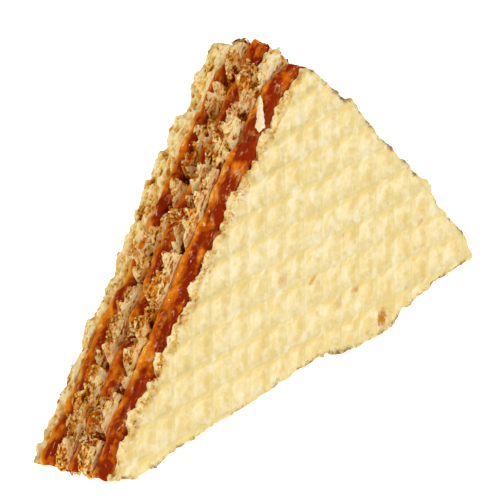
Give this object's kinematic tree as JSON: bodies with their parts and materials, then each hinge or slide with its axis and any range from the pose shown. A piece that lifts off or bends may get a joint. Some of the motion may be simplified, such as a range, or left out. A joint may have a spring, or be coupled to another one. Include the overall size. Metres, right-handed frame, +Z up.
{
  "type": "cream filled wafer",
  "caption": "Quarter of a square cream filled wafer standing on its long edge, crisp waffle sheets with caramel coloured cream between them, cut side ragged.",
  "frame": {"origin": "centre of the bounding box, at the level of the surface that the long edge rests on", "axes": "+X along the long edge, towards the corner away from the cut; +Y from the front waffle face to the back one; +Z up"},
  "size_m": [0.1001, 0.0164, 0.0536],
  "materials": {
    "pale_wafer": "dry baked wafer, pale cream yellow, matte",
    "toasted_wafer": "broken porous wafer crumb, toasted tan, matte",
    "caramel_cream": "soft caramel coloured cream, glossy and slightly translucent"
  },
  "bodies": {
    "root": {"front_wafer_sheet": "pale_wafer", "front_cream": "caramel_cream", "inner_wafer_front": "toasted_wafer", "middle_cream": "caramel_cream", "inner_wafer_back": "toasted_wafer", "back_cream": "caramel_cream", "back_wafer_sheet": "pale_wafer"}
  },
  "joints": []
}
